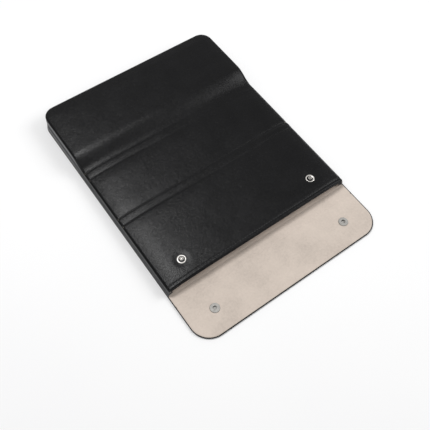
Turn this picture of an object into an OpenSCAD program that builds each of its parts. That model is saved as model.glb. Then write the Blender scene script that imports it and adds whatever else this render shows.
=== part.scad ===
// Leather tablet case: a slim pocket sleeve in three stiffened sections, joined by
// two fold bands, with pleated side gussets, and a flap that wraps over the mouth
// and closes on two press studs. X is the width, +Y runs from the flap's tip to the
// closed rear end, and +Z is up from the surface that the case lies on.

/* [Case body] */
// Length of the body, from the mouth to the rear edge of the back panel
body_l = 267; // [262:1:272]
// Width of the back panel and of the flap
back_w = 232; // [231:1:234]
// Width of the cover, which is a little narrower than the back panel
top_w = 228; // [227:0.5:229]
// Height at the sides of the front and middle sections
side_h = 11; // [10.9:0.05:11.1]
// Rise of the cover from its sides to its middle, in the front and middle sections
crown_h = 3.2; // [3:0.1:3.2]
// Height at the sides of the rear section
rear_h = 20; // [18:0.5:21]
// Rise of the cover from its sides to its middle, in the rear section
rear_crown_h = 1.5; // [0.5:0.5:2]
// Length over which the cover steps up to the rear section's height
step_l = 24; // [22:1:32]
// Length of the front section, from the mouth to its fold band
front_l = 89; // [85:1:95]
// Length of the rear section, from its fold band to the back panel's rear edge
rear_l = 98; // [92:1:104]
// Width of each fold band
band_w = 10; // [9:0.5:10.5]
// Radius of the cover's two rear corners
corner_r = 14; // [10:1:18]

/* [Layers] */
// Thickness of the leather
skin_t = 0.9; // [0.8:0.05:1]
// Thickness of the stiffener boards
board_t = 0.8; // [0.7:0.05:0.8]
// Thickness of the suede lining
lining_t = 0.4; // [0.3:0.05:0.4]
// Width of the leather turned up round the edges of the boards
edge_w = 1; // [0.8:0.1:1.5]
// Thickness of the gusset leather
gusset_t = 0.9; // [0.7:0.1:1]
// Depth of the gusset's pleat beside the front and middle sections
pleat_d = 7; // [5:0.5:8]
// Depth of the gusset's pleat round the rear section
rear_pleat_d = 4; // [3:0.5:6]

/* [Flap] */
// Width of the spine that covers the mouth, between its two fold lines
spine_w = 13; // [13:0.1:13.4]
// Length of the flap, from its fold line to its tip
flap_l = 48.5; // [45:0.5:55]
// Radius of the flap's two corners
flap_r = 22; // [15:1:30]
// Gap between the stiffened pieces at a fold line of the flap
fold_gap = 0.6; // [0.4:0.1:0.8]

/* [Press studs] */
// Distance between the two studs
stud_spacing = 168.5; // [150:0.5:180]
// Distance from the mouth to the studs
stud_inset = 22; // [20:1:30]
// Diameter of a stud's flange
stud_d = 10; // [9:0.5:10.5]
// Diameter of a stud's head
stud_head_d = 4; // [3.6:0.1:4]

/* [Hidden] */
$fn = 96;

leather = [0.13, 0.13, 0.14];
gusset_leather = [0.2, 0.2, 0.21];
suede = [0.8, 0.74, 0.67];
board = [0.5, 0.45, 0.4];
nickel = [0.75, 0.74, 0.72];

eps = 0.01;                 // overshoot of a cut past the face it opens
clear = 0.3;                // running gap between two folding sections
seam_gap = 0.05;            // a gusset's top edge stops this far under the cover
end_step = 0.15;            // the cover's rear edge is this much thinner between its corners
lip_run = 0.3;              // the turned rear edge slopes up to the layers over this
hair = 0.02;                // gap round the layers inside the rear cover
panel_t = skin_t + board_t + lining_t;
board_top = skin_t + board_t;
top_half = top_w / 2;
back_half = back_w / 2;
rim = back_half - top_half; // the back panel stands out past the cover by this

// Stations along the length. The whole case, flap included, is centred on Y = 0.
mouth_gap = 0.5;            // from the mouth to the fold line beside it
total_l = body_l + mouth_gap + spine_w + flap_l;
y_tip = -total_l / 2;
y_flap_fold = y_tip + flap_l;
y_spine_fold = y_flap_fold + spine_w;
y_mouth = y_spine_fold + mouth_gap;
y_end = total_l / 2;
y_cover_end = y_end - rim;
y_lip = y_cover_end - edge_w - lip_run;
y_front_fold = y_mouth + front_l + band_w / 2;
y_rear_fold = y_end - rear_l - band_w / 2;
y_mid_a = y_front_fold + band_w / 2;
y_mid_b = y_rear_fold - band_w / 2;
y_rear = y_rear_fold + band_w / 2;

// Both fold bands turn about a line just under the cover.
fold_z = side_h + crown_h - 2.2;
band_r = band_w / 2 - clear;

// The cover's outer surface: flat over the tablet, rounding down to both sides.
crown_power = 10;
tail_power = 16;
steps_across = 24;

function smooth(t) = let (u = min(1, max(0, t))) u * u * (3 - 2 * u);
function mix(a, b, t) = a + (b - a) * t;
function rise(y) = smooth((y - y_rear) / step_l);
function tail(y) = 1 - pow(max(0, (y - y_rear) / (y_end - y_rear)), tail_power);
function crown(x) = 1 - pow(min(1, abs(x) / top_half), crown_power);
function cover_z(x, y) =
    mix(side_h, rear_h, rise(y)) + mix(crown_h, rear_crown_h, rise(y)) * crown(x) * tail(y);

// Half the cover's width at y, inset from its outline, with round rear corners
function cover_half(y, inset) =
    let (past = y - (y_cover_end - corner_r), r = corner_r - inset)
    past <= 0 ? top_half - inset
              : top_half - corner_r + sqrt(max(0, r * r - past * past));

// Points of the cover's surface across x at y, at a depth under its outer face
function across(y, half, depth) = [
    for (i = [0:steps_across])
        let (x = half * sin(90 * (2 * i / steps_across - 1))) [x, cover_z(x, y) - depth]
];
function backwards(list) = [for (i = [len(list) - 1:-1:0]) list[i]];

// Cross-section of one inner layer of the cover
function layer_loop(y, upper, lower, inset = edge_w) =
    let (half = cover_half(y, inset))
    concat(across(y, half, upper), backwards(across(y, half, lower)));

// Cross-section of the cover's leather, turned down over the edges of the layers
// inside it; "inner" is the depth of its underside between the turned edges
function skin_loop(y, inner) =
    let (half = cover_half(y, 0), in = min(cover_half(y, edge_w), half - edge_w / 2))
    concat(
        across(y, half, 0),
        [[half, cover_z(half, y) - panel_t], [in, cover_z(in, y) - panel_t]],
        backwards(across(y, in, inner)),
        [[-in, cover_z(in, y) - panel_t], [-half, cover_z(half, y) - panel_t]]
    );

// Stations of the rear section: the step, the flat, then round the corners
function rear_stations(inset) = concat(
    [for (i = [0:10]) y_rear + step_l * i / 10],
    [mix(y_rear + step_l, y_cover_end - corner_r, 0.5)],
    [for (a = [0:15:75]) y_cover_end - corner_r + (corner_r - inset) * sin(a)]
);
function upright(y, loop) = [for (p = loop) [p[0], y, p[1]]];

// Closed solid through a row of loops that all have the same number of points
module loft(loops) {
    n = len(loops[0]);
    rows = len(loops);
    faces = concat(
        [[for (i = [0:n - 1]) i]],
        [[for (i = [n - 1:-1:0]) (rows - 1) * n + i]],
        [for (r = [0:rows - 2]) for (i = [0:n - 1])
            [r * n + i, (r + 1) * n + i, (r + 1) * n + (i + 1) % n]],
        [for (r = [0:rows - 2]) for (i = [0:n - 1])
            [r * n + i, (r + 1) * n + (i + 1) % n, r * n + (i + 1) % n]]
    );
    polyhedron([for (loop = loops) each loop], faces);
}

// A cross-section in X and Z, drawn out straight from y0 to y1
module drawn(y0, y1, loop) {
    translate([0, y1, 0]) rotate([90, 0, 0]) linear_extrude(y1 - y0) polygon(loop);
}

module block(x0, x1, y0, y1, z0, z1) {
    translate([x0, y0, z0]) cube([x1 - x0, y1 - y0, z1 - z0]);
}

// Flat outline from y0 to y1 with two round corners at y1, which may be ahead or behind
module tongue(half, y0, y1, r) {
    s = sign(y1 - y0);
    l = abs(y1 - y0);
    translate([0, y0]) {
        translate([-half, s > 0 ? 0 : -(l - r)]) square([2 * half, l - r]);
        translate([r - half, s > 0 ? 0 : -l]) square([2 * (half - r), l]);
        for (side = [-1, 1]) translate([side * (half - r), s * (l - r)]) circle(r);
    }
}

module plate(z0, z1) {
    translate([0, 0, z0]) linear_extrude(z1 - z0) children();
}

module at_studs(y) {
    for (side = [-1, 1]) translate([side * stud_spacing / 2, y, 0]) children();
}

// ---- Press stud sizes ----
y_stud = y_mouth + stud_inset;
y_socket = 2 * y_spine_fold - spine_w - y_stud;
stud_top = cover_z(stud_spacing / 2, y_stud);
dimple = 0.45;              // the stud's flange is let into the leather this far
flange_t = 0.6;
stud_h = 1.9;               // head above the leather
shank_r = 1.5;
rivet_t = 0.35;
rivet_r = 4.5;
fit = 0.1;                  // round a piece let into leather or board
socket_r = 5.2;
socket_bore = stud_head_d / 2 + 0.5;
socket_lip = stud_head_d / 2 + 0.2;
socket_h = 0.7;             // the socket stands this far out of the suede
spring_wire = 0.25;
cap_r = 6;
cap_t = 0.5;

// ==== Back panel ====

module back_skin(y0, y1) {
    difference() {
        block(-back_half, back_half, y0, y1, 0, panel_t);
        block(edge_w - back_half, back_half - edge_w, y0 - eps, y1 + eps, skin_t, panel_t + eps);
    }
}

module back_layer(y0, y1, z0, z1) {
    block(edge_w - back_half, back_half - edge_w, y0, y1, z0, z1);
}

module back_skin_front() { color(leather) back_skin(y_mouth, y_front_fold - band_w / 2); }
module back_board_front() {
    color(board) back_layer(y_mouth, y_front_fold - band_w / 2, skin_t, board_top);
}
module back_lining_front() {
    color(suede) back_layer(y_mouth, y_front_fold - band_w / 2, board_top, panel_t);
}

module back_skin_middle() { color(leather) back_skin(y_mid_a, y_mid_b); }
module back_board_middle() { color(board) back_layer(y_mid_a, y_mid_b, skin_t, board_top); }
module back_lining_middle() { color(suede) back_layer(y_mid_a, y_mid_b, board_top, panel_t); }

module back_fold_front() {
    color(leather) block(-back_half, back_half, y_mid_a - band_w + clear, y_mid_a, 0, skin_t + lining_t);
}
module back_fold_rear() {
    color(leather) block(-back_half, back_half, y_mid_b, y_mid_b + band_w - clear, 0, skin_t + lining_t);
}

module rear_outline(inset) { tongue(back_half - inset, y_rear, y_end - inset, corner_r + rim - inset); }

module back_skin_rear() {
    color(leather) difference() {
        plate(0, panel_t) rear_outline(0);
        plate(skin_t, panel_t + eps) rear_outline(edge_w);
        block(edge_w - back_half, back_half - edge_w, y_rear - eps, y_rear + edge_w, skin_t, panel_t + eps);
    }
}
module back_board_rear() { color(board) plate(skin_t, board_top) rear_outline(edge_w); }
module back_lining_rear() { color(suede) plate(board_top, panel_t) rear_outline(edge_w); }

// ==== Cover ====

// Openings through the cover's front section for the studs, their flanges and rivets
module stud_holes() {
    at_studs(y_stud) {
        translate([0, 0, stud_top - 2 * panel_t]) cylinder(r = shank_r, h = 3 * panel_t);
        translate([0, 0, stud_top - dimple]) cylinder(d = stud_d + 2 * fit, h = panel_t);
        translate([0, 0, stud_top - 2 * panel_t])
            cylinder(r = rivet_r + fit, h = panel_t + rivet_t + 0.1);
    }
}

module cover_skin_front() {
    color(leather) difference() {
        drawn(y_mouth, y_front_fold - band_w / 2, skin_loop(y_mouth, skin_t));
        stud_holes();
    }
}
module cover_board_front() {
    color(board) difference() {
        drawn(y_mouth, y_front_fold - band_w / 2, layer_loop(y_mouth, skin_t, board_top));
        stud_holes();
    }
}
module cover_lining_front() {
    color(suede) difference() {
        drawn(y_mouth, y_front_fold - band_w / 2, layer_loop(y_mouth, board_top, panel_t));
        stud_holes();
    }
}

module cover_skin_middle() { color(leather) drawn(y_mid_a, y_mid_b, skin_loop(y_mid_a, skin_t)); }
module cover_board_middle() {
    color(board) drawn(y_mid_a, y_mid_b, layer_loop(y_mid_a, skin_t, board_top));
}
module cover_lining_middle() {
    color(suede) drawn(y_mid_a, y_mid_b, layer_loop(y_mid_a, board_top, panel_t));
}

// Pressed leather band over a fold: its free shoulder is rounded about the fold line,
// so that the section beside it can swing up past it
module cover_fold(y_fold, y0, y1, y_shoulder) {
    color(leather) intersection() {
        drawn(y0, y1, skin_loop(y_mid_a, panel_t));
        union() {
            translate([-back_half, y_fold, fold_z]) rotate([0, 90, 0]) cylinder(r = band_r, h = back_w);
            block(-back_half, back_half, min(y_fold, y_shoulder), max(y_fold, y_shoulder), 0, rear_h);
        }
    }
}
module cover_fold_front() { cover_fold(y_front_fold, y_mid_a - band_w + clear, y_mid_a, y_mid_a); }
module cover_fold_rear() { cover_fold(y_rear_fold, y_mid_b, y_mid_b + band_w - clear, y_mid_b); }

module cover_skin_rear() {
    color(leather) loft(concat(
        [for (y = concat(rear_stations(edge_w), [y_lip])) upright(y, skin_loop(y, skin_t))],
        [for (y = [y_cover_end - edge_w, y_cover_end - edge_w / 2, y_cover_end])
            upright(y, skin_loop(y, panel_t - end_step))]
    ));
}
module rear_layer(upper, lower) {
    loft([for (y = concat(rear_stations(edge_w), [y_lip - hair]))
        upright(y, layer_loop(y, upper + hair, lower, edge_w + hair))]);
}
module cover_board_rear() { color(board) rear_layer(skin_t, board_top); }
module cover_lining_rear() { color(suede) rear_layer(board_top, panel_t); }

// ==== Gussets ====

// The gusset's foot and head, as insets from the cover's outline
foot_in = 0.4 - rim;
head_in = 0.4;

// Cross-section of the pleated gusset at a station [cx, cy, nx, ny]: c is the centre
// that the outline's corner radius is struck from, and n points out of the case
function gusset_point(s, inset) = [s[0] + s[2] * (corner_r - inset), s[1] + s[3] * (corner_r - inset)];
function gusset_head(s, inset) = let (p = gusset_point(s, inset)) cover_z(p[0], p[1]) - panel_t - seam_gap;
function gusset_loop(s) =
    let (
        pleat = mix(pleat_d, rear_pleat_d, rise(s[1])),
        head = gusset_head(s, head_in),
        fold = (panel_t + head) / 2,
        rows = [
            [head_in, head], [pleat, fold], [foot_in, panel_t],
            [foot_in + gusset_t, panel_t], [pleat + gusset_t, fold],
            [head_in + gusset_t, gusset_head(s, head_in + gusset_t)]
        ]
    )
    [for (row = rows) let (p = gusset_point(s, row[0])) [p[0], p[1], row[1]]];

module side_gusset(side, y0, y1) {
    loop = gusset_loop([side * (top_half - corner_r), y0, side, 0]);
    color(gusset_leather) drawn(y0, y1, [for (p = loop) [p[0], p[2]]]);
}

module gusset_front_left() { side_gusset(-1, y_mouth, y_front_fold - band_w / 2); }
module gusset_front_right() { side_gusset(1, y_mouth, y_front_fold - band_w / 2); }
module gusset_middle_left() { side_gusset(-1, y_mid_a - band_w + clear, y_mid_b + band_w - clear); }
module gusset_middle_right() { side_gusset(1, y_mid_a - band_w + clear, y_mid_b + band_w - clear); }

// One strip up the left side, across the rear end and back down the right side
module gusset_rear() {
    cx = top_half - corner_r;
    cy = y_cover_end - corner_r;
    ys = concat([for (i = [0:10]) y_rear + step_l * i / 10], [mix(y_rear + step_l, cy, 0.5)]);
    stations = concat(
        [for (y = ys) [-cx, y, -1, 0]],
        [for (a = [180:-15:90]) [-cx, cy, cos(a), sin(a)]],
        [for (i = [1:9]) [cx * (i / 5 - 1), cy, 0, 1]],
        [for (a = [90:-15:0]) [cx, cy, cos(a), sin(a)]],
        [for (i = [len(ys) - 1:-1:0]) [cx, ys[i], 1, 0]]
    );
    color(gusset_leather) loft([for (s = stations) backwards(gusset_loop(s))]);
}

// ==== Flap ====

spine_y0 = y_flap_fold + fold_gap / 2;
spine_y1 = y_spine_fold - fold_gap / 2;
flap_y1 = y_flap_fold - fold_gap / 2;

module spine_skin() { color(leather) back_skin(spine_y0, spine_y1); }
module spine_board() { color(board) back_layer(spine_y0, spine_y1, skin_t, board_top); }
module spine_lining() { color(suede) back_layer(spine_y0, spine_y1, board_top, panel_t); }

module flap_outline(inset) { tongue(back_half - inset, flap_y1, y_tip + inset, flap_r - inset); }

module flap_skin() {
    color(leather) difference() {
        plate(0, panel_t) flap_outline(0);
        plate(skin_t, panel_t + eps) flap_outline(edge_w);
        block(edge_w - back_half, back_half - edge_w, flap_y1 - edge_w, flap_y1 + eps, skin_t, panel_t + eps);
        at_studs(y_socket) {
            translate([0, 0, -eps]) cylinder(r = cap_r + fit, h = cap_t + 2 * eps);
            translate([0, 0, -eps]) cylinder(r = shank_r + fit, h = panel_t);
        }
    }
}
module flap_layer(z0, z1) {
    difference() {
        plate(z0, z1) flap_outline(edge_w);
        at_studs(y_socket) translate([0, 0, z0 - eps]) cylinder(r = socket_r + fit, h = z1 - z0 + 2 * eps);
    }
}
module flap_board() { color(board) flap_layer(skin_t, board_top); }
module flap_lining() { color(suede) flap_layer(board_top, panel_t); }

// ==== Press studs ====

// Male half on the cover: a raised-rim flange with a necked head on it
module press_studs() {
    color(nickel) at_studs(y_stud) translate([0, 0, stud_top]) rotate_extrude() polygon([
        [0.8, -dimple], [stud_d / 2, -dimple], [stud_d / 2, 0], [stud_d / 2 - 0.3, flange_t - dimple],
        [stud_d / 2 - 0.9, flange_t - dimple], [stud_d / 2 - 1.4, -0.1], [stud_head_d / 2 - 0.4, -0.1],
        [stud_head_d / 2 - 0.4, 0.7], [stud_head_d / 2, 1.2], [stud_head_d / 2 - 0.15, 1.7],
        [stud_head_d / 2 - 0.6, stud_h], [1.1, stud_h], [0.8, 1.5]
    ]);
}

// Tubular rivet that holds the stud from inside the pocket
module stud_rivets() {
    color(nickel) at_studs(y_stud) translate([0, 0, stud_top]) rotate_extrude() polygon([
        [0, -panel_t], [rivet_r, -panel_t], [rivet_r, rivet_t - panel_t], [shank_r - 0.1, rivet_t - panel_t],
        [shank_r - 0.1, -dimple - 0.02], [0.75, -dimple - 0.02], [0.75, 1.2], [0, 1.2]
    ]);
}

// Female half in the flap: a cup with an inturned lip
module snap_sockets() {
    color(nickel) at_studs(y_socket) rotate_extrude() polygon([
        [shank_r + 0.05, skin_t], [socket_r, skin_t], [socket_r, panel_t + socket_h - 0.3],
        [socket_r - 0.3, panel_t + socket_h], [socket_lip, panel_t + socket_h],
        [socket_lip, panel_t + socket_h - 0.3], [socket_bore + 0.3, panel_t + socket_h - 0.3],
        [socket_bore + 0.3, skin_t + 0.3], [shank_r + 0.05, skin_t + 0.3]
    ]);
}

// Wire ring that grips the stud's head
module snap_springs() {
    color(nickel) at_studs(y_socket) translate([0, 0, panel_t + 0.1])
        rotate_extrude() translate([socket_bore, 0]) circle(spring_wire);
}

// Low domed cap on the leather side, with the shank that holds the socket
module snap_caps() {
    color(nickel) at_studs(y_socket) rotate_extrude() polygon(concat(
        [for (i = [0:6]) let (r = cap_r * i / 6) [r, 0.35 * pow(r / cap_r, 2)]],
        [[cap_r, cap_t], [shank_r, cap_t], [shank_r, skin_t + 0.35], [0, skin_t + 0.35]]
    ));
}

// ==== Assembly ====

back_skin_front();
back_board_front();
back_lining_front();
cover_skin_front();
cover_board_front();
cover_lining_front();
gusset_front_left();
gusset_front_right();
press_studs();
stud_rivets();
back_skin_middle();
back_board_middle();
back_lining_middle();
cover_skin_middle();
cover_board_middle();
cover_lining_middle();
gusset_middle_left();
gusset_middle_right();
cover_fold_front();
cover_fold_rear();
back_fold_front();
back_fold_rear();
back_skin_rear();
back_board_rear();
back_lining_rear();
cover_skin_rear();
cover_board_rear();
cover_lining_rear();
gusset_rear();
spine_skin();
spine_board();
spine_lining();
flap_skin();
flap_board();
flap_lining();
snap_sockets();
snap_springs();
snap_caps();
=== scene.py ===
"""Looks of a leather tablet case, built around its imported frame."""

import math

import bpy
import numpy as np
from bpy.props import FloatProperty, FloatVectorProperty, PointerProperty
from mathutils import Matrix, Vector


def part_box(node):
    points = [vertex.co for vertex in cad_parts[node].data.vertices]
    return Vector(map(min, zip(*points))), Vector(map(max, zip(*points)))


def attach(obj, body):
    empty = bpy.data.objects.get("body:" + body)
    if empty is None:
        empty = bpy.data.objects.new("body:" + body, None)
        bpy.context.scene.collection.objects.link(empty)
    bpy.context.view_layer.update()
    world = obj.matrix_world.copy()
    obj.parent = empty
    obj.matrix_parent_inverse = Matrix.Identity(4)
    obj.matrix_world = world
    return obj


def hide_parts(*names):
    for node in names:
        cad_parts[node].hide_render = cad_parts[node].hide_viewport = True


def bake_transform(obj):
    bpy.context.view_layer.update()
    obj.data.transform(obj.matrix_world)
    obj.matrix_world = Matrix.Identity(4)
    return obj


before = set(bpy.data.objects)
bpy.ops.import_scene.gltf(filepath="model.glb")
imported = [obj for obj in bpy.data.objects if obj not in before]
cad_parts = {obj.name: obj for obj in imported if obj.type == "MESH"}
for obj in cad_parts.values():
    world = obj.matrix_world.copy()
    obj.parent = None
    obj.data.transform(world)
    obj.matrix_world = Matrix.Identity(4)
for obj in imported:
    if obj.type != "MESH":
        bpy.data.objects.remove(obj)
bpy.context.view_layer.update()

bl_info = {
    "name": "Leather tablet case",
    "version": (1, 0, 0),
    "blender": (4, 5, 0),
    "location": "3D View > Sidebar > Tablet case",
    "description": "Builds the leather, suede, stitching and metal of a folding tablet case",
    "category": "Object",
}

MM = 0.001


# ---- Sizes that the frame gives ----

def low(node):
    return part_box(node)[0]


def high(node):
    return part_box(node)[1]


SKIN = low("back_board_front").z
BOARD_TOP = low("back_lining_front").z
PANEL = high("back_skin_front").z
BACK_HALF = high("back_skin_front").x
TOP_HALF = high("cover_skin_front").x
MOUTH = low("cover_skin_front").y
BAND_FRONT = (high("cover_skin_front").y, low("cover_skin_middle").y)
BAND_REAR = (high("cover_skin_middle").y, low("cover_skin_rear").y)
COVER_END = high("cover_skin_rear").y
BACK_END = high("back_skin_rear").y
SPANS = {
    "front": (MOUTH, BAND_FRONT[0]),
    "middle": (BAND_FRONT[1], BAND_REAR[0]),
    "rear": (BAND_REAR[1], COVER_END),
}
TIP = low("flap_skin").y
FLAP_FOLD = (high("flap_skin").y + low("spine_skin").y) / 2
SPINE_FOLD = (high("spine_skin").y + low("back_skin_front").y) / 2 - 0.1 * MM
SIDE_H = low("cover_skin_front").z + PANEL
CROWN = high("cover_skin_front").z - SIDE_H
REAR_CROWN = 1.5 * MM        # rise of the rear cover over its edges
REAR_H = high("cover_skin_rear").z - REAR_CROWN
STEP = 24 * MM               # length of the slope up to the rear section
CORNER_R = 14 * MM
BACK_R = CORNER_R + BACK_HALF - TOP_HALF
FLAP_R = 22 * MM
STUD_RING = 5 * MM           # outer radius of a stud's ring
STUD_X = (high("press_studs").x - low("press_studs").x) / 2 - STUD_RING
STUD_Y = (high("press_studs").y + low("press_studs").y) / 2
SOCKET_Y = SPINE_FOLD + FLAP_FOLD - STUD_Y
SOCKET_HOLE = 5.25 * MM      # radius of the opening in the flap's suede round a socket
FOLD_REACH = 2 * MM          # a flap fold bends over this far to each side of its line
EDGE_STEPS = (0, 0.12, 0.35, 0.7, 1.1, 1.5, 1.85, 2.2, 2.55, 3.0, 3.8, 5, 7, 9.5, 12.5, 16)
CREASE_STEPS = (-2.4, -1.6, -1.1, -0.75, -0.45, -0.2, 0, 0.2, 0.45, 0.75, 1.1, 1.6, 2.4)


# ---- Settings that a user would change ----

class CaseSizes(bpy.types.PropertyGroup):
    grain_pitch: FloatProperty(name="Grain pitch",
                               description="Distance between the pressed lines of the leather",
                               default=1.0 * MM, unit="LENGTH", subtype="DISTANCE")
    crease_depth: FloatProperty(name="Crease depth",
                                description="Depth of the pressed lines beside the fold bands",
                                default=0.42 * MM, unit="LENGTH", subtype="DISTANCE")
    band_rise: FloatProperty(name="Band rise", description="Height of a fold band above the cover beside it",
                             default=0.35 * MM, unit="LENGTH", subtype="DISTANCE")
    pillow: FloatProperty(name="Pillow", description="Rise of each section's leather over its board",
                          default=0.55 * MM, unit="LENGTH", subtype="DISTANCE")
    seam_inset: FloatProperty(name="Seam inset", description="Distance from an edge to its pressed seam line",
                              default=1.5 * MM, unit="LENGTH", subtype="DISTANCE")
    hem_inset: FloatProperty(name="Hem inset", description="Distance from the mouth to its row of stitches",
                             default=4.8 * MM, unit="LENGTH", subtype="DISTANCE")
    stitch_length: FloatProperty(name="Stitch length", description="Length of one stitch",
                                 default=2.3 * MM, unit="LENGTH", subtype="DISTANCE")
    stitch_pitch: FloatProperty(name="Stitch pitch", description="Distance from one stitch to the next",
                                default=3.1 * MM, unit="LENGTH", subtype="DISTANCE")
    thread: FloatProperty(name="Thread", description="Thickness of the thread",
                          default=0.7 * MM, unit="LENGTH", subtype="DISTANCE")


def colour(name, description, default):
    return FloatVectorProperty(name=name, description=description, default=default,
                               size=3, min=0, max=1, subtype="COLOR")


class CaseColours(bpy.types.PropertyGroup):
    leather: colour("Leather", "Colour of the cover, back and bands", (0.0045, 0.0045, 0.0050))
    # The gusset's grey is far lighter than the cover's black. This lightness is painted light: it stands in for
    # the bright surroundings lighting the side-facing strips.
    gusset: colour("Gusset", "Colour of the pleated side strips", (0.065, 0.065, 0.068))
    suede: colour("Suede", "Colour of the lining", (0.60, 0.52, 0.455))
    thread: colour("Thread", "Colour of the stitches", (0.016, 0.016, 0.017))
    nickel: colour("Nickel", "Colour of the plated metal", (0.74, 0.715, 0.68))
    board: colour("Board", "Colour of the stiffener boards", (0.28, 0.25, 0.21))


def sizes():
    return bpy.context.scene.case_sizes


def colours():
    return bpy.context.scene.case_colours


# ---- Shape of the case ----

def smooth(t):
    u = np.clip(t, 0, 1)
    return u * u * (3 - 2 * u)


def mix(a, b, t):
    return a + (b - a) * t


def rise(y):
    return smooth((y - BAND_REAR[1]) / STEP)


def cover_base(x, y):
    """Height of the plain cover, before its creases and seams."""
    tail = 1 - np.clip((y - BAND_REAR[1]) / (BACK_END - BAND_REAR[1]), 0, 1) ** 16
    crown = 1 - np.clip(np.abs(x) / TOP_HALF, 0, 1) ** 10
    return mix(SIDE_H, REAR_H, rise(y)) + mix(CROWN, REAR_CROWN, rise(y)) * crown * tail


class Outline:
    """Plan outline of a panel, with round corners at either end, or an open end."""

    def __init__(self, half, near=None, near_r=0.0, far=None, far_r=0.0):
        self.half, self.near, self.near_r, self.far, self.far_r = half, near, near_r, far, far_r

    def half_at(self, y):
        w = np.full_like(y, self.half)
        for edge, r, sign in ((self.near, self.near_r, -1), (self.far, self.far_r, 1)):
            if edge is not None and r > 0:
                past = np.clip(sign * (y - edge) + r, 0, r)
                w = np.minimum(w, self.half - r + np.sqrt(np.maximum(0, r * r - past * past)))
        return w

    def inset(self, x, y):
        """Distance in from the outline."""
        side = self.half - np.abs(x)
        best = side.copy()
        for edge, r, sign in ((self.near, self.near_r, -1), (self.far, self.far_r, 1)):
            if edge is None:
                continue
            end = sign * (edge - y)
            corner = (side < r) & (end < r)
            reach = np.hypot(np.maximum(r - side, 0), np.maximum(r - end, 0))
            best = np.minimum(best, np.where(corner, r - reach, end))
        return np.maximum(best, 0)


COVER = Outline(TOP_HALF, MOUTH, 2.5 * MM, COVER_END, CORNER_R)
BACK = Outline(BACK_HALF, None, 0, BACK_END, BACK_R)
FLAP = Outline(BACK_HALF, TIP, FLAP_R)


def edge_round(inset, radius):
    """Drop of a surface that rounds over within radius of its edge."""
    s = np.minimum(inset, radius)
    return radius - np.sqrt(np.maximum(0, radius ** 2 - (radius - s) ** 2))


def ridge(distance, width):
    return np.exp(-(distance / width) ** 2)


def ripple(x, y):
    """Slow unevenness of leather over its board, from -1 to 1."""
    return (np.sin(x / (31 * MM) + 1.3) * np.sin(y / (43 * MM) + 0.4)
            + 0.6 * np.sin((x + 0.7 * y) / (17 * MM)) * np.sin((y - 0.4 * x) / (23 * MM) + 2)) / 1.6


def band_relief(x, y, band, strength, soft=0.0):
    """Two pressed lines and the raised band between them; soft widens and calms the lines."""
    a, b = band
    width = mix(0.85, 1.9, soft) * MM
    lines = (1 - 0.7 * soft) * ridge(y - a, width) + (1 - 0.1 * soft) * ridge(y - b, width)
    t = np.clip((y - a) / (b - a), 0, 1)
    return strength * (sizes().band_rise * np.sin(math.pi * t) ** 0.8 - sizes().crease_depth * lines)


DIMPLE_DEPTH = 0.42 * MM     # the leather is pressed down round each stud
DIMPLE_R = 10.5 * MM
DIMPLE_SLOPE = 5.5 * MM


def cover_relief(x, y):
    """Creases, bands, seams, dimples and wrinkles of the cover's leather."""
    s = sizes()
    inset = COVER.inset(x, y)
    z = 0.10 * MM * ripple(x, y) * smooth(inset / (12 * MM))
    for start, end in SPANS.values():
        along = smooth((y - start) / (13 * MM)) * smooth((end - y) / (13 * MM))
        z += s.pillow * along * smooth(inset / (14 * MM))
    for band in (BAND_FRONT, BAND_REAR):
        z -= 0.22 * MM * ridge(y - (band[0] + band[1]) / 2, 7.5 * MM)
    right = smooth((x + 0.02) / 0.12)
    z += band_relief(x, y, BAND_FRONT, 1.0 + 0.35 * right, right)
    z += band_relief(x, y, BAND_REAR, 1.0 - 0.72 * smooth((x + 0.06) / 0.11))
    past = y - BAND_REAR[0]
    near_step = smooth((past + 3 * MM) / (6 * MM)) * smooth((24 * MM - past) / (12 * MM))
    z += 0.16 * MM * near_step * right * np.sin(past / (2.3 * MM) + np.sin(x / (14 * MM)) * 1.7)
    z -= 0.62 * MM * ridge(inset - s.seam_inset, 0.5 * MM)
    z -= 0.22 * MM * ridge(y - MOUTH - s.hem_inset, 0.7 * MM)
    z += 0.12 * MM * ridge(y - MOUTH - s.hem_inset - 2.2 * MM, 1.4 * MM)
    for side in (-1, 1):
        away = np.hypot(x - side * STUD_X, y - STUD_Y)
        z -= DIMPLE_DEPTH * smooth((DIMPLE_R - away) / DIMPLE_SLOPE)
    return z


def cover_top(x, y):
    return cover_base(x, y) + cover_relief(x, y) - edge_round(COVER.inset(x, y), 0.8 * MM)


def cover_under(x, y):
    """Underside of the cover's leather, turned down over the edges of its board."""
    inset = COVER.inset(x, y)
    lip = smooth((1.6 * MM - inset) / (0.5 * MM))
    return cover_base(x, y) - mix(SKIN, PANEL, lip) + edge_round(inset, 0.5 * MM)


def cover_suede_top(x, y):
    return cover_base(x, y) - BOARD_TOP - 0.02 * MM


def cover_suede_under(x, y):
    return cover_base(x, y) - PANEL - 0.05 * MM * (1 + ripple(x * 3, y * 3))


def back_seam(inset):
    return 0.25 * MM * ridge(inset - 2.6 * MM, 0.4 * MM)


def back_outer(outline):
    """Outer face of the back, spine or flap, which lies on the table."""
    def height(x, y):
        z = edge_round(outline.inset(x, y), 0.7 * MM) + back_seam(outline.inset(x, y))
        for band in (BAND_FRONT, BAND_REAR):
            for line in band:
                z = z + 0.35 * MM * ridge(y - line, 0.6 * MM)
        for line in (FLAP_FOLD, SPINE_FOLD):
            z = z + 0.25 * MM * ridge(y - line, 1.2 * MM)
        return z
    return height


RIM = 0.9 * MM               # width of leather that shows round the suede
SUEDE_INSET = RIM * 0.8      # the suede's own edge, under that rim
RIPPLE = 0.03 * MM           # unevenness of the suede


def back_inner(outline):
    """Inner face of the back's leather: a rim turned up round the board and lining."""
    def height(x, y):
        inset = outline.inset(x, y)
        lip = smooth((RIM + 0.4 * MM - inset) / (0.5 * MM))
        return mix(SKIN, PANEL, lip) - edge_round(inset, 0.6 * MM) * lip
    return height


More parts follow.
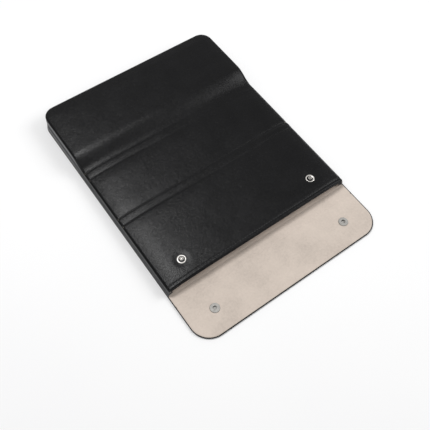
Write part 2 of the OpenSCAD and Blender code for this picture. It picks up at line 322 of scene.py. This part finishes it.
def suede_face(outline):
    """Napped face of the lining on the back, spine and flap, dipping at folds and rims."""
    def height(x, y):
        z = PANEL + RIPPLE * (ripple(x * 1.7, y * 2.1) - 1)
        z = z - 0.30 * MM * ridge(outline.inset(x, y) - RIM, 0.7 * MM)
        z = z - 0.28 * MM * ridge(y - FLAP_FOLD, 1.0 * MM)
        z = z - 0.22 * MM * ridge(y - SPINE_FOLD, 1.0 * MM)
        for band in (BAND_FRONT, BAND_REAR):
            for line in band:
                z = z - 0.25 * MM * ridge(y - line, 1.0 * MM)
        return z
    return height


def suede_base(x, y):
    return np.full_like(x, BOARD_TOP + 0.02 * MM)


# ---- Mesh making ----

def new_piece(name, points, faces, material):
    mesh = bpy.data.meshes.new(name)
    mesh.from_pydata([tuple(p) for p in points], [], faces)
    mesh.validate()
    mesh.polygons.foreach_set("use_smooth", [True] * len(mesh.polygons))
    mesh.set_sharp_from_angle(angle=math.radians(48))
    mesh.materials.append(material)
    piece = bpy.data.objects.new(name, mesh)
    bpy.context.scene.collection.objects.link(piece)
    return piece


def spread_rows(start, end, clusters=(), step=3 * MM):
    """Rows from start to end, set closer beside each line that needs fine detail."""
    rows = list(np.linspace(start, end, max(2, int(round((end - start) / step)) + 1)))
    for line, offsets in clusters:
        rows += [line + o * MM for o in offsets if start < line + o * MM < end]
    rows = sorted(rows)
    kept = [rows[0]]
    for r in rows[1:]:
        if r - kept[-1] > 0.09 * MM:
            kept.append(r)
    if rows[-1] - kept[-1] > 1e-9:
        kept[-1] = rows[-1]
    return np.array(kept)


def columns(half, lines=(), step=3 * MM):
    """Column places from -1 to 1, set closer towards both edges and beside lines."""
    near = [1 - d * MM / half for d in EDGE_STEPS]
    inner = np.linspace(0, near[-1], int(half / step) + 1)
    right = sorted(set(np.round(list(inner) + near + list(lines), 6)))
    return np.array([-u for u in right[:0:-1]] + right)


def slab(name, outline, rows, top, under, material, trim=0.0, lines=(), holes=()):
    """Closed sheet between two height functions over a plan outline, with round holes."""
    half = outline.half_at(rows) - trim
    u = columns(outline.half, lines)
    x = half[:, None] * u[None, :]
    y = rows[:, None] + 0 * x
    open_part = np.zeros(x.shape, bool)
    for cx, cy, radius in holes:
        away = np.hypot(x - cx, y - cy)
        within = away < radius
        open_part |= within
        grow = np.where(within, radius / np.maximum(away, 1e-6), 1)
        x, y = cx + (x - cx) * grow, cy + (y - cy) * grow
    upper = np.stack([x, y, top(x, y)], axis=2)
    lower = np.stack([x, y, np.minimum(under(x, y), upper[..., 2] - 0.1 * MM)], axis=2)
    n, m = x.shape
    points = np.concatenate([upper.reshape(-1, 3), lower.reshape(-1, 3)])
    faces, edges = [], set()
    for i in range(n - 1):
        for j in range(m - 1):
            if open_part[i:i + 2, j:j + 2].all():
                continue
            a, b, c, d = i * m + j, i * m + j + 1, (i + 1) * m + j + 1, (i + 1) * m + j
            faces += [(a, b, c, d), (d + n * m, c + n * m, b + n * m, a + n * m)]
            edges |= {(a, b), (b, c), (c, d), (d, a)}
    faces += [(a, a + n * m, b + n * m, b) for a, b in sorted(edges) if (b, a) not in edges]
    used = sorted({v for face in faces for v in face})
    place = {v: k for k, v in enumerate(used)}
    return new_piece(name, points[used], [tuple(place[v] for v in face) for face in faces], material)


def sweep(name, loops, material):
    """Closed solid through a row of closed loops with the same number of points."""
    n = len(loops[0])
    points = [p for loop in loops for p in loop]
    faces = [tuple(range(n)), tuple(len(points) - 1 - i for i in range(n))]
    for r in range(len(loops) - 1):
        for i in range(n):
            a, b = r * n + i, r * n + (i + 1) % n
            faces.append((b, a, a + n, b + n))
    return new_piece(name, points, faces, material)


def turned(name, profile, centre, material, steps=72):
    """Round piece turned from a profile of (radius, height) points in millimetres."""
    points, faces = [], []
    for r, h in profile:
        for k in range(steps):
            a = 2 * math.pi * k / steps
            points.append((centre[0] + r * MM * math.cos(a), centre[1] + r * MM * math.sin(a),
                           centre[2] + h * MM))
    rings = len(profile)
    for i in range(rings - 1):
        for k in range(steps):
            a, b = i * steps + k, i * steps + (k + 1) % steps
            faces.append((a, b, b + steps, a + steps))
    faces.append(tuple(range(steps - 1, -1, -1)))
    faces.append(tuple((rings - 1) * steps + k for k in range(steps)))
    return new_piece(name, points, faces, material)


def stitch_mesh(name, marks, material):
    """Row of separate stitches; a mark is (middle, along, up) as unit directions."""
    s = sizes()
    points, faces = [], []
    rings, sides = 7, 8
    for middle, along, up in marks:
        across = along.cross(up).normalized()
        base = len(points)
        for i in range(rings):
            phi = math.pi * i / (rings - 1)
            reach = -math.copysign(abs(math.cos(phi)) ** 0.8, math.cos(phi)) * s.stitch_length / 2
            r = s.thread / 2 * max(0.12, math.sin(phi) ** 0.6)
            sink = -0.25 * MM * (2 * reach / s.stitch_length) ** 2
            for k in range(sides):
                a = 2 * math.pi * k / sides
                points.append(middle + along * reach + across * (r * math.cos(a))
                              + up * (r * math.sin(a) + sink))
        for i in range(rings - 1):
            for k in range(sides):
                a, b = base + i * sides + k, base + i * sides + (k + 1) % sides
                faces.append((a, a + sides, b + sides, b))
        faces.append(tuple(base + k for k in range(sides)))
        faces.append(tuple(base + (rings - 1) * sides + k for k in range(sides - 1, -1, -1)))
    return new_piece(name, points, faces, material)


# ---- Materials ----

class Finish:
    """Node material being built, with short ways to add and join nodes."""

    def __init__(self, name):
        self.material = bpy.data.materials.new("case_" + name)
        self.material.use_nodes = True
        self.tree = self.material.node_tree
        self.tree.nodes.clear()
        self.out = self.add("ShaderNodeOutputMaterial")
        self.shader = self.add("ShaderNodeBsdfPrincipled")
        self.join(self.shader.outputs[0], self.out.inputs["Surface"])
        self.place = self.add("ShaderNodeTexCoord").outputs["Object"]

    def add(self, kind, **values):
        node = self.tree.nodes.new(kind)
        for key, value in values.items():
            if hasattr(node, key):
                setattr(node, key, value)
            else:
                node.inputs[key.replace("_", " ")].default_value = value
        return node

    def join(self, a, b):
        self.tree.links.new(a, b)

    def noise(self, scale, detail=3.0, roughness=0.55, place=None):
        node = self.add("ShaderNodeTexNoise", Scale=scale, Detail=detail, Roughness=roughness)
        self.join(place or self.place, node.inputs["Vector"])
        return node.outputs["Fac"]

    def lines(self, pitch, turn, wobble=1.5):
        """Parallel pressed lines, pitch metres apart, turned by an angle in plan."""
        turned_place = self.add("ShaderNodeMapping")
        turned_place.inputs["Rotation"].default_value = (0, 0, math.radians(turn))
        self.join(self.place, turned_place.inputs["Vector"])
        node = self.add("ShaderNodeTexWave", wave_type="BANDS", bands_direction="X", wave_profile="SIN",
                        Scale=math.pi / (10 * pitch), Distortion=wobble, Detail=1.5)
        node.inputs["Detail Scale"].default_value = 1.2
        self.join(turned_place.outputs[0], node.inputs["Vector"])
        return node.outputs["Fac"]

    def maths(self, operation, a, b=None):
        node = self.add("ShaderNodeMath", operation=operation)
        for k, value in enumerate((a, b)):
            if value is None:
                continue
            if isinstance(value, (int, float)):
                node.inputs[k].default_value = value
            else:
                self.join(value, node.inputs[k])
        return node.outputs[0]

    def ramp(self, value, stops):
        node = self.add("ShaderNodeValToRGB")
        while len(node.color_ramp.elements) < len(stops):
            node.color_ramp.elements.new(0.5)
        for element, (place, shade) in zip(node.color_ramp.elements, stops):
            element.position = place
            element.color = (*shade, 1) if len(shade) == 3 else shade
        self.join(value, node.inputs[0])
        return node.outputs[0]

    def paint(self, value):
        self.join(value, self.shader.inputs["Base Color"])

    def rough(self, value, smallest, largest):
        node = self.add("ShaderNodeMapRange")
        node.inputs["To Min"].default_value = smallest
        node.inputs["To Max"].default_value = largest
        self.join(value, node.inputs["Value"])
        self.join(node.outputs[0], self.shader.inputs["Roughness"])

    def bumps(self, *layers):
        """Bump layers of (height, strength, depth in metres), one over the other."""
        before = None
        for height, strength, depth in layers:
            node = self.add("ShaderNodeBump", Strength=strength, Distance=depth)
            self.join(height, node.inputs["Height"])
            if before is not None:
                self.join(before, node.inputs["Normal"])
            before = node.outputs[0]
        self.join(before, self.shader.inputs["Normal"])

    def set(self, **values):
        for key, value in values.items():
            self.shader.inputs[key.replace("_", " ")].default_value = value


def shades(base, factors):
    return [tuple(min(1.0, c * f) for c in base) for f in factors]


def leather_finish(name, base, pressed=True):
    f = Finish(name)
    dark, mid, light = shades(base, (0.72, 1.0, 1.75))
    mottle = f.noise(45, 4)
    fine = f.noise(1900, 2)
    pebble = f.noise(330, 3, 0.6)
    if pressed:
        pitch = sizes().grain_pitch
        one, two = f.lines(pitch, 45), f.lines(pitch, -45)
        grain = f.maths("MULTIPLY", f.maths("POWER", one, 0.6), f.maths("POWER", two, 0.6))
    else:
        cells = f.add("ShaderNodeTexVoronoi", Scale=1300)
        cells.feature = "SMOOTH_F1"
        f.join(f.place, cells.inputs["Vector"])
        grain = cells.outputs["Distance"]
    worn = f.maths("ADD", f.maths("MULTIPLY", grain, 0.35), f.maths("MULTIPLY", mottle, 0.65))
    f.paint(f.ramp(worn, [(0.2, dark), (0.5, mid), (0.85, light)]))
    uneven = f.maths("ADD", f.maths("MULTIPLY", mottle, 0.35), f.maths("MULTIPLY", pebble, 0.35))
    f.rough(f.maths("ADD", uneven, f.maths("MULTIPLY", grain, 0.3)), 0.14, 0.46)
    f.bumps((mottle, 0.5, 0.9 * MM), (pebble, 0.6, 0.3 * MM), (grain, 0.6, 0.1 * MM), (fine, 0.2, 0.04 * MM))
    f.set(Specular_IOR_Level=0.24 if pressed else 0.35)
    return f.material


def suede_finish():
    base = colours().suede
    f = Finish("suede")
    dark, mid, light = shades(base, (0.78, 1.0, 1.14))
    brushed = f.noise(22, 5, 0.6)
    nap = f.noise(420, 5, 0.7)
    fibre = f.noise(3200, 2)
    tone = f.maths("ADD", f.maths("MULTIPLY", brushed, 0.6), f.maths("MULTIPLY", nap, 0.4))
    f.paint(f.ramp(tone, [(0.3, dark), (0.5, mid), (0.7, light)]))
    f.rough(nap, 0.85, 1.0)
    f.bumps((brushed, 0.2, 0.8 * MM), (nap, 0.45, 0.25 * MM), (fibre, 0.5, 0.06 * MM))
    f.set(Specular_IOR_Level=0.15, Sheen_Weight=0.35, Sheen_Roughness=0.55)
    return f.material


def thread_finish():
    f = Finish("thread")
    dark, mid, light = shades(colours().thread, (0.6, 1.0, 2.2))
    twist = f.lines(0.45 * MM, 62, 0.4)
    f.paint(f.ramp(twist, [(0.15, dark), (0.5, mid), (0.9, light)]))
    f.rough(f.noise(2500), 0.45, 0.7)
    f.bumps((twist, 0.7, 0.12 * MM))
    f.set(Specular_IOR_Level=0.45, Sheen_Weight=0.2)
    return f.material


def metal_finish(name, base, smallest, largest):
    f = Finish(name)
    dark, mid, light = shades(base, (0.82, 1.0, 1.1))
    tarnish = f.noise(380, 4)
    scratches = f.noise(2600, 3, 0.7)
    f.paint(f.ramp(tarnish, [(0.25, dark), (0.5, mid), (0.75, light)]))
    f.rough(scratches, smallest, largest)
    f.bumps((tarnish, 0.06, 0.2 * MM), (scratches, 0.12, 0.03 * MM))
    f.set(Metallic=1.0)
    return f.material


def board_finish():
    f = Finish("fibre_board")
    dark, mid, light = shades(colours().board, (0.7, 1.0, 1.3))
    fibres = f.noise(700, 6, 0.75)
    f.paint(f.ramp(fibres, [(0.3, dark), (0.5, mid), (0.72, light)]))
    f.rough(fibres, 0.8, 0.95)
    f.bumps((fibres, 0.5, 0.15 * MM))
    return f.material


SOCKET_COLOUR = (0.45, 0.44, 0.42)
WIRE_COLOUR = (0.6, 0.6, 0.61)


def finish(name):
    """Material by name, made the first time that it is asked for."""
    found = bpy.data.materials.get("case_" + name)
    if found:
        return found
    c = colours()
    return {
        "leather": lambda: leather_finish("leather", c.leather),
        # Gusset leather gets the lightened gusset grey, which is painted light on the side strips.
        "gusset_leather": lambda: leather_finish("gusset_leather", c.gusset, pressed=False),
        "suede": suede_finish,
        "thread": thread_finish,
        "nickel": lambda: metal_finish("nickel", c.nickel, 0.32, 0.5),
        "socket_nickel": lambda: metal_finish("socket_nickel", SOCKET_COLOUR, 0.6, 0.75),
        "spring_wire": lambda: metal_finish("spring_wire", WIRE_COLOUR, 0.25, 0.45),
        "fibre_board": board_finish,
    }[name]()


# ---- Cover ----

def creases():
    return [(line, CREASE_STEPS) for band in (BAND_FRONT, BAND_REAR) for line in band]


def near_edge(line, way):
    return (line, [way * d for d in EDGE_STEPS])


STUD_LINES = [(STUD_X + d * MM) / TOP_HALF for d in (-10, -8.5, -7, -5.5, -3, 0, 3, 5.5, 7, 8.5, 10)]
STUD_ROWS = (STUD_Y, (-10, -8.5, -7, -5.5, -4, -2, 0, 2, 4, 5.5, 7, 8.5, 10))


def cover_rows(start, end):
    hem = (MOUTH + sizes().hem_inset, (-1.2, -0.6, 0, 0.6, 1.2, 2.2, 3.4))
    lines = creases() + [near_edge(MOUTH, 1), near_edge(COVER_END, -1), STUD_ROWS, hem]
    wrinkled = start >= BAND_REAR[0] and end < COVER_END
    return spread_rows(start, end, lines, 1.2 * MM if wrinkled else 2.4 * MM)


class CASE_OT_cover_leather(bpy.types.Operator):
    """Leather of the cover's three stiffened sections"""
    bl_idname = "case.cover_leather"
    bl_label = "Cover leather"

    def execute(self, context):
        for part, (start, end) in SPANS.items():
            piece = slab("cover_leather_" + part, COVER, cover_rows(start, end), cover_top, cover_under,
                         finish("leather"), lines=STUD_LINES if part == "front" else ())
            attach(piece, part)
            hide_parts("cover_skin_" + part)
        return {"FINISHED"}


class CASE_OT_cover_bands(bpy.types.Operator):
    """Leather fold bands across the cover, with the suede strips under them"""
    bl_idname = "case.cover_bands"
    bl_label = "Cover fold bands"

    def execute(self, context):
        for part, band in (("front", BAND_FRONT), ("rear", BAND_REAR)):
            rows = spread_rows(*band, creases(), 0.6 * MM)
            outer = slab("cover_band_" + part, COVER, rows, cover_top, cover_under, finish("leather"))
            inner = slab("cover_band_suede_" + part, COVER, rows, cover_suede_top, cover_suede_under,
                         finish("suede"), trim=1.6 * MM)
            for piece, slot in ((outer, "leather"), (inner, "suede")):
                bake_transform(piece)
            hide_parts("cover_fold_" + part)
        return {"FINISHED"}


class CASE_OT_cover_suede(bpy.types.Operator):
    """Suede glued under the cover's three sections"""
    bl_idname = "case.cover_suede"
    bl_label = "Cover suede"

    def execute(self, context):
        edge = 1.4 * MM
        inner = Outline(TOP_HALF - edge, MOUTH + 0.9 * MM, 1.5 * MM, COVER_END - edge, CORNER_R - edge)
        for part, (start, end) in SPANS.items():
            a = max(start, inner.near)
            b = min(end, inner.far)
            rows = spread_rows(a, b, [near_edge(inner.near, 1), near_edge(inner.far, -1)], 4 * MM)
            piece = slab("cover_suede_" + part, inner, rows, cover_suede_top, cover_suede_under,
                         finish("suede"))
            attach(piece, part)
            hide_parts("cover_lining_" + part)
        return {"FINISHED"}


# ---- Back, spine and flap ----

SPINE_ENDS = (FLAP_FOLD + FOLD_REACH, SPINE_FOLD - FOLD_REACH)
BACK_SPANS = {"front": (SPINE_FOLD + FOLD_REACH, BAND_FRONT[0]), "middle": SPANS["middle"],
              "rear": (BAND_REAR[1], BACK_END)}
FOLDS = (
    ("flap", "spine", "flap", (FLAP_FOLD - FOLD_REACH, FLAP_FOLD + FOLD_REACH), False, ()),
    ("spine", "front", "spine", (SPINE_FOLD - FOLD_REACH, SPINE_FOLD + FOLD_REACH), False, ()),
    ("front", "middle", "front", BAND_FRONT, False, ("back_fold_front",)),
    ("rear", "middle", "rear", BAND_REAR, True, ("back_fold_rear",)),
)


def fold_lines():
    return creases() + [(line, CREASE_STEPS) for line in (FLAP_FOLD, SPINE_FOLD)]


def lay_pair(name, body, outline, rows, leather_nodes, suede_nodes, lines=(), holes=()):
    """Leather outside and suede inside of one flat panel; returns both pieces."""
    outer = slab("back_leather_" + name, outline, rows, back_inner(outline), back_outer(outline),
                 finish("leather"))
    inner_rows = rows
    if outline.near is not None:
        inner_rows = rows[rows > outline.near + SUEDE_INSET]
    if outline.far is not None:
        inner_rows = rows[rows < outline.far - SUEDE_INSET]
    inner = slab("suede_" + name, inset_outline(outline, SUEDE_INSET), inner_rows, suede_face(outline),
                 suede_base, finish("suede"), lines=lines, holes=holes)
    for piece, slot, nodes in ((outer, "leather", leather_nodes), (inner, "suede", suede_nodes)):
        if body:
            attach(piece, body)
        if nodes:
            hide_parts(*nodes)
    return outer, inner


def inset_outline(outline, by):
    near = None if outline.near is None else outline.near + by
    far = None if outline.far is None else outline.far - by
    return Outline(outline.half - by, near, outline.near_r - by if near is not None else 0,
                   far, outline.far_r - by if far is not None else 0)


class CASE_OT_back(bpy.types.Operator):
    """Back panel: leather outside and suede inside, in three sections"""
    bl_idname = "case.back"
    bl_label = "Back panel"

    def execute(self, context):
        for part, (start, end) in BACK_SPANS.items():
            rows = spread_rows(start, end, fold_lines() + [near_edge(BACK_END, -1)], 4 * MM)
            lay_pair(part, part, BACK, rows, ["back_skin_" + part], ["back_lining_" + part])
        return {"FINISHED"}


class CASE_OT_flap(bpy.types.Operator):
    """Spine and flap: leather outside and suede inside"""
    bl_idname = "case.flap"
    bl_label = "Spine and flap"

    def execute(self, context):
        rows = spread_rows(*SPINE_ENDS, fold_lines(), 1.5 * MM)
        lay_pair("spine", "spine", BACK, rows, ["spine_skin"], ["spine_lining"])
        near_socket = [0.65 * k for k in range(-10, 11)]
        detail = fold_lines() + [near_edge(TIP, 1), (SOCKET_Y, near_socket)]
        rows = spread_rows(TIP, FLAP_FOLD - FOLD_REACH, detail, 2 * MM)
        lines = [(STUD_X + d * MM) / (BACK_HALF - SUEDE_INSET) for d in near_socket]
        holes = [(side * STUD_X, SOCKET_Y, SOCKET_HOLE) for side in (-1, 1)]
        lay_pair("flap", "flap", FLAP, rows, ["flap_skin"], ["flap_lining"], lines, holes)
        return {"FINISHED"}


class CASE_OT_back_folds(bpy.types.Operator):
    """Leather and suede across the back's four fold lines, fixed where they lie"""
    bl_idname = "case.back_folds"
    bl_label = "Back folds"

    def execute(self, context):
        for name, parent, child, (a, b), forward, nodes in FOLDS:
            rows = spread_rows(a, b, fold_lines(), 0.5 * MM)
            pair = lay_pair("fold_" + name, None, BACK, rows, nodes, ())
            for piece in pair:
                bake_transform(piece)
        return {"FINISHED"}


# ---- Gussets ----

FOOT_IN, HEAD_IN = -1.45 * MM, 0.45 * MM
GUSSET_T = 0.8 * MM


def gusset_loop(cx, cy, nx, ny):
    """Cross-section of the gusset: two walls that bulge either side of a pressed pleat."""
    def at(inset, z):
        r = CORNER_R - inset
        return (cx + nx * r, cy + ny * r, z)
    head_y = cy + ny * (CORNER_R - HEAD_IN)
    head_x = cx + nx * (CORNER_R - HEAD_IN)
    top = float(cover_base(np.array(head_x), np.array(head_y))) - PANEL + 0.02 * MM
    pleat = mix(4.2, 3.4, float(rise(np.array(cy + ny * CORNER_R)))) * MM
    outer, inner = [], []
    for k in range(25):
        t = k / 24
        fold = pleat * math.exp(-((t - 0.5) / 0.115) ** 2)
        bulge = 0.35 * MM * abs(math.sin(2 * math.pi * t))
        inset = mix(FOOT_IN, HEAD_IN, t) + fold - bulge * (1 if t > 0.5 else 0.6)
        z = mix(PANEL - 0.25 * MM, top, t)
        outer.append(at(inset, z))
        inner.append(at(inset + GUSSET_T, z))
    return outer + inner[::-1]


def gusset_strip(name, stations):
    """Gusset leather swept through stations."""
    loops = [gusset_loop(*s) for s in stations]
    piece = sweep(name, loops, finish("gusset_leather"))
    return piece


def side_gusset(name, side, start, end):
    cx = side * (TOP_HALF - CORNER_R)
    rows = spread_rows(start, end, (), 2.5 * MM)[::-side]
    return gusset_strip(name, [(cx, float(y), side, 0) for y in rows])


class CASE_OT_gussets(bpy.types.Operator):
    """Pleated leather strips along the sides and round the rear end"""
    bl_idname = "case.gussets"
    bl_label = "Gussets"

    def execute(self, context):
        for side, hand in ((-1, "left"), (1, "right")):
            for part in ("front", "middle"):
                start, end = SPANS[part]
                start += 0.3 * MM if part == "front" else 0
                piece = side_gusset(f"gusset_{part}_{hand}_leather", side, start, end)
                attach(piece, part)
                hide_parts(f"gusset_{part}_{hand}")
            for part, (a, b) in (("front", BAND_FRONT), ("rear", BAND_REAR)):
                piece = side_gusset(f"gusset_bend_{part}_{hand}", side, a, b)
                start, end = (b, a) if part == "front" else (a, b)
                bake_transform(piece)
        self.rear()
        return {"FINISHED"}

    def rear(self):
        cx, cy = TOP_HALF - CORNER_R, COVER_END - CORNER_R
        ys = [float(y) for y in spread_rows(BAND_REAR[1], cy, (), 2.5 * MM)][:-1]
        stations = [(-cx, y, -1, 0) for y in ys]
        turn = [math.radians(a) for a in range(180, 89, -6)]
        stations += [(-cx, cy, math.cos(a), math.sin(a)) for a in turn]
        stations += [(cx * k / 12, cy, 0, 1) for k in range(-11, 12)]
        stations += [(cx, cy, -math.cos(a), math.sin(a)) for a in turn[::-1]]
        stations += [(cx, y, 1, 0) for y in ys[::-1]]
        piece = gusset_strip("gusset_rear_leather", stations)
        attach(piece, "rear")
        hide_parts("gusset_rear")


# ---- Stitches and metal ----

class CASE_OT_stitches(bpy.types.Operator):
    """Row of stitches along the hem of the mouth"""
    bl_idname = "case.stitches"
    bl_label = "Hem stitches"

    def execute(self, context):
        s = sizes()
        y = MOUTH + s.hem_inset
        reach = TOP_HALF - 6 * MM
        count = int(2 * reach / s.stitch_pitch)
        marks = []
        for k in range(count + 1):
            x = -reach + 2 * reach * k / count
            at = [float(cover_top(np.array([[x + d]]), np.array([[y]]))[0, 0])
                  for d in (-0.5 * MM, 0.5 * MM)]
            along = Vector((1 * MM, 0.08 * MM, at[1] - at[0])).normalized()
            up = Vector((0, 0, 1))
            marks.append((Vector((x, y, (at[0] + at[1]) / 2 + 0.12 * MM)), along, up))
        piece = stitch_mesh("hem_stitches", marks, finish("thread"))
        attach(piece, "front")
        return {"FINISHED"}


STUD_PROFILE = (             # (radius, height) in millimetres: ring, dish, neck, head, hollow
    (2.2, -0.7), (5.0, -0.7), (5.04, -0.3), (4.97, 0.02), (4.78, 0.24), (4.45, 0.38), (4.05, 0.40), (3.7, 0.34),
    (3.42, 0.24), (3.2, 0.17), (2.9, 0.14), (2.5, 0.14), (2.15, 0.16), (1.92, 0.24), (1.8, 0.46),
    (1.76, 0.8), (1.84, 1.12), (1.98, 1.32), (2.02, 1.52),
    (1.97, 1.68), (1.84, 1.79), (1.66, 1.82), (1.48, 1.74),
    (1.34, 1.5), (1.26, 0.9), (1.15, 0.2), (0.5, 0.1),
)


class CASE_OT_studs(bpy.types.Operator):
    """Press studs on the cover: a rolled ring round a necked post with a hollow tip"""
    bl_idname = "case.studs"
    bl_label = "Press studs"

    def execute(self, context):
        for side, hand in ((-1, "left"), (1, "right")):
            x = side * STUD_X
            z = float(cover_base(np.array([[x]]), np.array([[STUD_Y]]))[0, 0])
            piece = turned("stud_" + hand, STUD_PROFILE, (x, STUD_Y, z - 0.1 * MM), finish("nickel"))
            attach(piece, "front")
            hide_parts("press_studs")
        return {"FINISHED"}


METAL_FINISHES = {"snap_springs": "spring_wire", "snap_sockets": "socket_nickel", "snap_caps": "socket_nickel"}


class CASE_OT_hardware(bpy.types.Operator):
    """Finishes of the frame's own metal and board pieces"""
    bl_idname = "case.hardware"
    bl_label = "Metal and boards"

    def execute(self, context):
        for name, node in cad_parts.items():
            if node.hide_render:
                continue
            kind = "fibre_board" if "board" in name else METAL_FINISHES.get(name, "nickel")
            node.data.materials.clear()
            node.data.materials.append(finish(kind))
        return {"FINISHED"}


# ---- Stage ----

def area_light(name, place, aim, width, height, power, tint=(1, 1, 1)):
    data = bpy.data.lights.new(name, "AREA")
    data.shape, data.size, data.size_y, data.energy, data.color = "RECTANGLE", width, height, power, tint
    light = bpy.data.objects.new(name, data)
    light.location = place
    light.rotation_euler = (Vector(aim) - Vector(place)).to_track_quat("-Z", "Y").to_euler()
    bpy.context.scene.collection.objects.link(light)


class CASE_OT_stage(bpy.types.Operator):
    """Pale floor, soft lights and the camera"""
    bl_idname = "case.stage"
    bl_label = "Stage"

    def execute(self, context):
        f = Finish("floor_paper")
        grey = f.noise(3.0, 2)
        f.paint(f.ramp(grey, [(0.3, (0.93, 0.93, 0.935)), (0.7, (0.95, 0.95, 0.95))]))
        f.rough(grey, 0.7, 0.8)
        f.set(Specular_IOR_Level=0.2)
        size, drop = 4.0, 0.05 * MM
        floor = new_piece("floor", [(-size, -size, -drop), (size, -size, -drop), (size, size, -drop),
                                    (-size, size, -drop)], [(0, 1, 2, 3)], f.material)

        world = bpy.data.worlds.new("studio")
        bpy.context.scene.world = world
        world.use_nodes = True
        world.node_tree.nodes["Background"].inputs["Color"].default_value = (1, 1, 1, 1)
        world.node_tree.nodes["Background"].inputs["Strength"].default_value = 0.4
        area_light("window", (-0.21, 0.38, 1.25), (0, 0, 0), 0.38, 0.42, 8.9)
        area_light("side_fill", (1.1, -0.55, 1.0), (0.1, 0.1, 0), 1.0, 0.8, 9.5)

        camera = bpy.data.objects.new("camera", bpy.data.cameras.new("camera"))
        place, aim, tilt = Vector((-0.2123, -0.3044, 0.5575)), Vector((-0.0264, -0.0574, 0.012)), 1.63
        turn = (aim - place).to_track_quat("-Z", "Y").to_matrix() @ Matrix.Rotation(math.radians(tilt), 3, "Z")
        camera.matrix_world = Matrix.Translation(place) @ turn.to_4x4()
        camera.data.lens = 49.85
        camera.data.sensor_width = 36
        camera.data.clip_start = 0.01
        bpy.context.scene.collection.objects.link(camera)
        bpy.context.scene.camera = camera
        bpy.context.scene.view_settings.view_transform = "Standard"
        return {"FINISHED"}


# ---- Add-on ----

STEPS = (CASE_OT_cover_leather, CASE_OT_cover_bands, CASE_OT_cover_suede, CASE_OT_back, CASE_OT_flap,
         CASE_OT_back_folds, CASE_OT_gussets, CASE_OT_stitches, CASE_OT_studs, CASE_OT_hardware, CASE_OT_stage)


class CASE_PT_panel(bpy.types.Panel):
    """Sidebar panel that lists the case's pieces"""
    bl_idname = "CASE_PT_panel"
    bl_label = "Tablet case"
    bl_space_type = "VIEW_3D"
    bl_region_type = "UI"
    bl_category = "Tablet case"

    def draw(self, context):
        for settings in (context.scene.case_sizes, context.scene.case_colours):
            for key in settings.__annotations__:
                self.layout.prop(settings, key)
        for step in STEPS:
            self.layout.operator(step.bl_idname)


CLASSES = (CaseSizes, CaseColours, *STEPS, CASE_PT_panel)


def register():
    for cls in CLASSES:
        bpy.utils.register_class(cls)
    bpy.types.Scene.case_sizes = PointerProperty(type=CaseSizes)
    bpy.types.Scene.case_colours = PointerProperty(type=CaseColours)


def unregister():
    del bpy.types.Scene.case_sizes
    del bpy.types.Scene.case_colours
    for cls in reversed(CLASSES):
        bpy.utils.unregister_class(cls)


def main():
    register()
    for step in STEPS:
        group, name = step.bl_idname.split(".")
        getattr(getattr(bpy.ops, group), name)()


if __name__ == "__main__":
    main()
